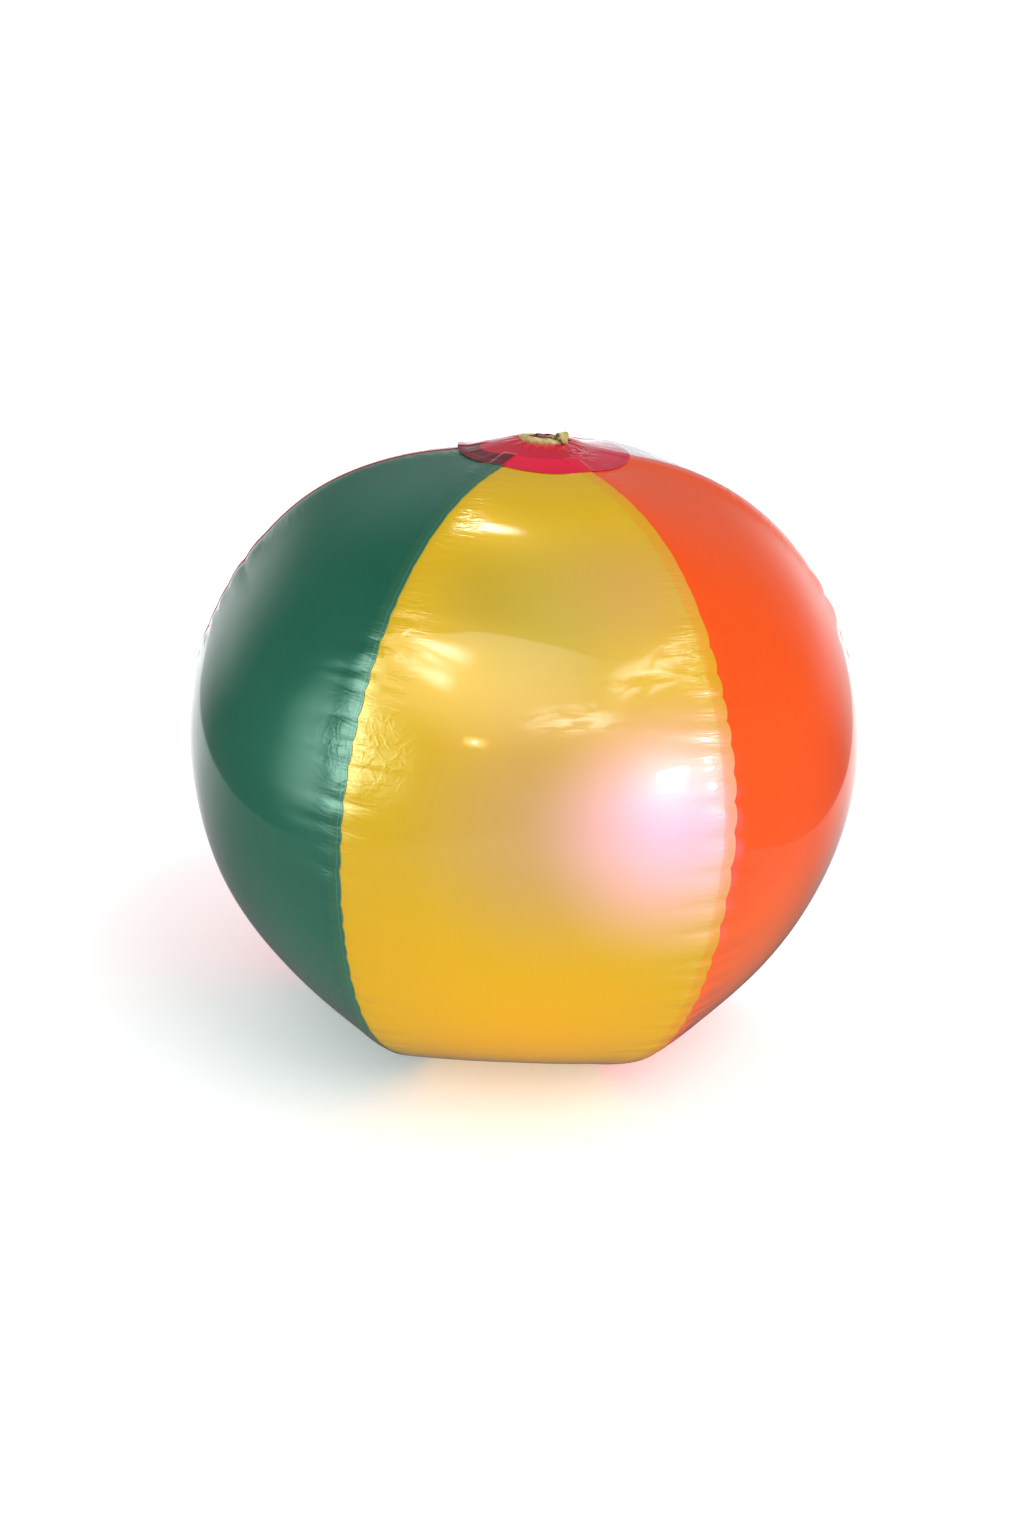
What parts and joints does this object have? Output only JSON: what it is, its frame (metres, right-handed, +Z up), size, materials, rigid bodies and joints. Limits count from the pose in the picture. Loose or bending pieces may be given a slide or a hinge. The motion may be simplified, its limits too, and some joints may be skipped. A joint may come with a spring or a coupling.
{
  "type": "beach ball",
  "caption": "Soft inflatable ball of coloured film panels welded to round end caps, with a push-in air valve in the top cap.",
  "frame": {"origin": "middle of the flat patch that the ball rests on", "axes": "+Z up along the ball's axis, through both end caps and the valve; the yellow panel faces -Y"},
  "size_m": [0.3422, 0.34, 0.3115],
  "materials": {
    "film_yellow": "glossy soft vinyl film",
    "film_orange": "glossy soft vinyl film",
    "film_white": "glossy soft vinyl film",
    "film_blue": "glossy soft vinyl film",
    "film_red": "glossy soft vinyl film",
    "film_green": "glossy soft vinyl film",
    "film_crimson": "glossy translucent vinyl film",
    "valve_pvc": "soft moulded vinyl"
  },
  "bodies": {
    "ball": {"gore_yellow": "film_yellow", "gore_orange": "film_orange", "gore_white": "film_white", "gore_blue": "film_blue", "gore_red": "film_red", "gore_green": "film_green", "top_cap": "film_crimson", "bottom_cap": "film_crimson", "valve_flange": "valve_pvc", "valve_web": "valve_pvc"},
    "stem": {"valve_stem": "valve_pvc", "plug_strap": "valve_pvc"},
    "plug": {"valve_plug": "valve_pvc"},
    "flap": {"check_flap": "valve_pvc"}
  },
  "joints": [
    {"name": "valve_pop_out", "type": "slide", "parent": "ball", "child": "stem", "axis": [0, 0, 1], "range_m": [0, 0.016], "deforming": ["valve_web"]},
    {"name": "plug_swing", "type": "hinge", "parent": "stem", "child": "plug", "pos_m": [0.00885, -0.00619, 0.30982], "axis": [0.5736, 0.8192, 0], "range_deg": [0, 150], "deforming": ["plug_strap"]},
    {"name": "check_flap_swing", "type": "hinge", "parent": "stem", "child": "flap", "pos_m": [-0.0042, 0, 0.28822], "axis": [0, 1, 0], "range_deg": [0, 60], "stiffness_Nm_per_rad": 0.0001, "springref_deg": -5.73}
  ]
}
